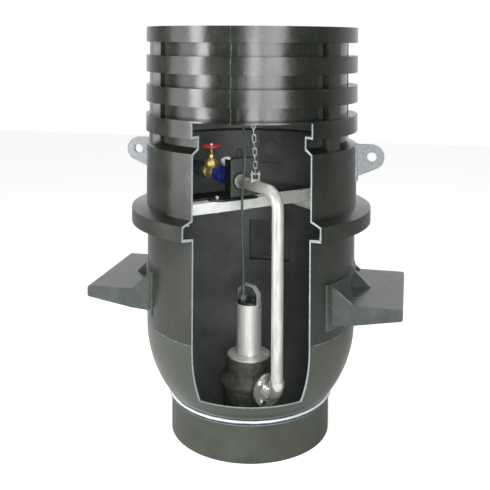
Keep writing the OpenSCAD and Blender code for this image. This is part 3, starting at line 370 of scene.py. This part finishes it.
# Along the bead the two pale bands are painted highlights, and the dark band between them is painted shade.
rod_tone = tint(tree, rod_tone, band(tree, height, WELD_MIDDLE + 0.0075, 1.6, 1.4), "#d3dadd")
rod_tone = tint(tree, rod_tone, band(tree, height, WELD_MIDDLE, 1.8, 1.4), "#14191b")
rod_tone = tint(tree, rod_tone, band(tree, height, WELD_MIDDLE - 0.006, 1.2, 1.2), "#a9b9c6")
tree.links.new(rod_tone, tree.nodes["shader"].inputs["Base Color"])
lug_plate = finish("pale_sheet", "#6f7477", "#9ca1a4", 5, (0.40, 0.60), relief_mm=0.5, grain_mm=2.5)
use(lug_plate, "lifting_lug_right", "lifting_lug_left")

# %% [markdown]
# The beam and its supports are hot-dip galvanised and fresh, so they look almost white with faint dull
# clouds. Bolts, chain and hangers are zinc plated: bright, slightly rough metal.

# %% Galvanised and plated steel
galvanised = finish("galvanised_steel", "#dcddd8", "#f2f2ee", 38, (0.38, 0.55), metallic=0.15,
    relief_mm=0.1, grain_mm=5)
use(galvanised, "cross_beam", "beam_support_right", "beam_support_left")
plated = finish("zinc_plated_steel", "#a9acad", "#d5d8d8", 12, (0.22, 0.38), metallic=1.0, relief_mm=0.05,
    grain_mm=2)
use(plated, "beam_bolts", "bracket_pin", "lifting_chain", "chain_end_hook", "neck_hangers", "handwheel_nut",
    "handle_screws", "flange_bolts")

# %% [markdown]
# The coupling is coated grey iron. A thick coat fills the sand texture but leaves it visible as a soft
# pebble of about two millimetres. The moving plate is the same iron under a grey-green coat.

# %% Coated iron
coated = finish("coated_iron", "#15181a", "#24282a", 25, (0.30, 0.50), relief_mm=0.25, grain_mm=2.4)
use(coated, "coupling_body")
coupling_coat = finish("grey_green_coat", "#3a413d", "#545c57", 5, (0.35, 0.55), relief_mm=0.35,
    grain_mm=2.6)
use(coupling_coat, "coupling_plate")
plate = nodes["coupling_plate"].data
plate.materials.append(coated)
PLATE_EDGE = 1.0045
for face in plate.polygons:
    face.material_index = 1 if face.center.z > PLATE_EDGE else 0
print("black faces on the coupling's hook and loop:", sum(face.material_index for face in plate.polygons))
pump_paint = finish("pump_paint", "#32352d", "#4c4f46", 22, (0.28, 0.46), relief_mm=0.25, grain_mm=3)
use(pump_paint, "volute_casing", "suction_strainer")

# %% [markdown]
# The check valve is iron under fusion-bonded blue epoxy, glossy and thick at its edges. The gate valve is
# cast brass, its handwheel pressed steel with red enamel.

# %% Valves
blue_epoxy = finish("blue_epoxy", "#1f2a78", "#2b3893", 30, (0.28, 0.40), relief_mm=0.05, grain_mm=8,
    coat=0.2)
use(blue_epoxy, "check_valve_body")
use(galvanised, "check_valve_cap")
brass = finish("cast_brass", "#b39a52", "#e3d08c", 9, (0.26, 0.42), metallic=0.6, relief_mm=0.15,
    grain_mm=1.6)
use(brass, "gate_valve_body", "gate_valve_bonnet", "packing_nut", "gate_stem", "gate_wedge",
    "valve_nipples")
enamel = finish("red_enamel", "#b8261c", "#dd4034", 16, (0.20, 0.34), relief_mm=0.1, grain_mm=3, coat=0.4)
use(enamel, "handwheel")
composite = finish("dark_composite", "#20262c", "#39434c", 12, (0.22, 0.40), relief_mm=0.2, grain_mm=2)
use(composite, "pipe_union")

# %% [markdown]
# The pressure pipe is stainless steel that was pickled after welding, which turns it pale and dull. The
# motor jacket was brushed along its height, and elbow and flange were polished.

# %% Stainless steel, three ways
pickled = finish("pickled_stainless", "#a3a4a0", "#cbcbc7", 22, (0.30, 0.46), metallic=0.35, relief_mm=0.04,
    grain_mm=3, stretch=(1, 1, 0.25))
use(pickled, "riser_pipe", "pipe_bracket")
brushed = finish("brushed_stainless", "#c2c3bf", "#e8e8e4", 5, (0.26, 0.40), metallic=0.4, relief_mm=0.05,
    grain_mm=1.2, stretch=(1, 1, 0.04))
use(brushed, "motor_jacket")
bright = finish("bright_stainless", "#c9cac6", "#e9e9e5", 60, (0.20, 0.30), metallic=0.45, relief_mm=0.02,
    grain_mm=20)
use(bright, "pump_handle", "jacket_flange")
polished = finish("polished_stainless", "#c2c2bd", "#e2e2dd", 50, (0.14, 0.24), metallic=0.75,
    relief_mm=0.06, grain_mm=30)
use(polished, "flange_elbow")

# %% [markdown]
# The rest is dark plastic and rubber. Rubber is matt with a faint bloom, and the cable's jacket is a grey
# green.

# %% Plastic and rubber
dark_plastic = finish("motor_plastic", "#1c1f1e", "#2b302e", 20, (0.30, 0.48), relief_mm=0.08, grain_mm=1.5)
use(dark_plastic, "motor_head", "outlet_pipe")
gland_plastic = finish("gland_plastic", "#3d4541", "#59625d", 9, (0.30, 0.45), relief_mm=0.1, grain_mm=1.5)
use(gland_plastic, "cable_gland")
use(composite, "head_plug")
rubber = finish("rubber", "#101111", "#1e2020", 15, (0.55, 0.75), relief_mm=0.1, grain_mm=1)
use(rubber, "check_valve_ball", "coupling_seal", "pipe_gasket", "discharge_gasket", "cable_tie")
jacket = finish("cable_jacket", "#363d3a", "#525c57", 18, (0.32, 0.50), relief_mm=0.1, grain_mm=1.5)
use(jacket, "cable_sleeve")
cable_data.materials.append(jacket)
steel = finish("ground_steel", "#8f9192", "#bfc1c2", 20, (0.25, 0.40), metallic=1.0, relief_mm=0.03,
    grain_mm=1)
use(steel, "rotor_shaft", "rotor_core", "motor_bearings", "shaft_seal", "impeller")
winding = finish("varnished_winding", "#6a4a2c", "#a3774a", 4, (0.30, 0.45), relief_mm=0.2, grain_mm=1)
use(winding, "motor_stator")
print("materials:", len(bpy.data.materials))

# %% [markdown]
# Catalogue photographers light a dark glossy object with a few tall soft boxes, because what one sees on
# it are their mirror images. One stands to the left and gives the rings their first bright band, and a
# wide dim one beyond it softens that band's edge. One stands right of the camera and gives the second, a
# small one shines in through the cut-out, and a large one hangs above. The floor shows the object's
# shadow, but glows a little for the camera, so the object stands on white.

# %% Floor
FLOOR_GLOW = 0.6
floor_mesh = bpy.data.meshes.new("floor")
floor_mesh.from_pydata([(-8, -8, 0), (8, -8, 0), (8, 8, 0), (-8, 8, 0)], [], [(0, 1, 2, 3)])
floor = bpy.data.objects.new("floor", floor_mesh)
bpy.context.scene.collection.objects.link(floor)
floor_material = finish("pale_floor", "#e9e9e8", "#ededec", 300, (0.7, 0.8))
floor_mesh.materials.append(floor_material)
tree = floor_material.node_tree
light_path = add(tree, "ShaderNodeLightPath")
glow = add(tree, "ShaderNodeMath", {0: light_path.outputs["Is Camera Ray"], 1: FLOOR_GLOW},
    operation="MULTIPLY")
tree.nodes["shader"].inputs["Emission Color"].default_value = (1, 1, 1, 1)
tree.links.new(glow.outputs[0], tree.nodes["shader"].inputs["Emission Strength"])

# %% Lamps
def lamp(name, azimuth, distance, height, aim_height, size, watts):
    data = bpy.data.lights.new(name, "AREA")
    data.shape = "RECTANGLE"
    data.size, data.size_y = size
    data.energy = watts
    item = bpy.data.objects.new(name, data)
    turn = TURN - math.radians(90) + math.radians(azimuth)
    item.location = (distance * math.cos(turn), distance * math.sin(turn), height)
    aim = Vector((0, 0, aim_height)) - item.location
    item.rotation_euler = aim.to_track_quat("-Z", "Y").to_euler()
    bpy.context.scene.collection.objects.link(item)
    print(name, "lamp, watts per square metre:", round(watts / size[0] / size[1]))

lamp("left", -56, 2.9, 1.45, 1.2, (0.75, 2.2), 66)
lamp("far left", -78, 3.1, 1.35, 1.1, (1.3, 2.2), 26)
lamp("right", 22, 3.1, 1.50, 1.2, (1.15, 2.0), 58)
lamp("front", 2, 3.3, 1.30, 0.9, (0.7, 1.3), 34)
lamp("top", 0, 0.3, 3.4, 1.0, (2.2, 2.2), 26)

# %% [markdown]
# The sky is white wherever the camera looks. Reflections show the room as it would be: a white backdrop
# behind the object, and the dim rest of the studio behind the camera. Without that dim side a dark
# glossy surface would look milky, since every part of it would mirror white.

# %% White backdrop and dim studio
AMBIENT, DIM_SIDE = 0.36, 0.20
world = bpy.data.worlds.new("studio")
bpy.context.scene.world = world
world.use_nodes = True
tree = world.node_tree
tree.nodes.clear()
light_path = add(tree, "ShaderNodeLightPath")
depth = add(tree, "ShaderNodeSeparateXYZ", {"Vector": add(tree, "ShaderNodeTexCoord").outputs["Generated"]})
studio = add(tree, "ShaderNodeMapRange", {"Value": depth.outputs["Y"], "From Min": 0.10, "From Max": 0.75,
    "To Min": DIM_SIDE, "To Max": 1.0}).outputs[0]
clear = add(tree, "ShaderNodeMath", {0: light_path.outputs["Is Glossy Ray"],
    1: light_path.outputs["Is Transmission Ray"]}, operation="MAXIMUM").outputs[0]
strength = add(tree, "ShaderNodeMix", {"Factor": clear, 2: AMBIENT, 3: studio}).outputs[0]
strength = add(tree, "ShaderNodeMix", {"Factor": light_path.outputs["Is Camera Ray"], 2: strength,
    3: 1.0}).outputs[0]
sky = add(tree, "ShaderNodeBackground", {"Color": (1, 1, 1, 1), "Strength": strength})
add(tree, "ShaderNodeOutputWorld", {"Surface": sky.outputs[0]})
bpy.context.scene.view_settings.view_transform = "Standard"
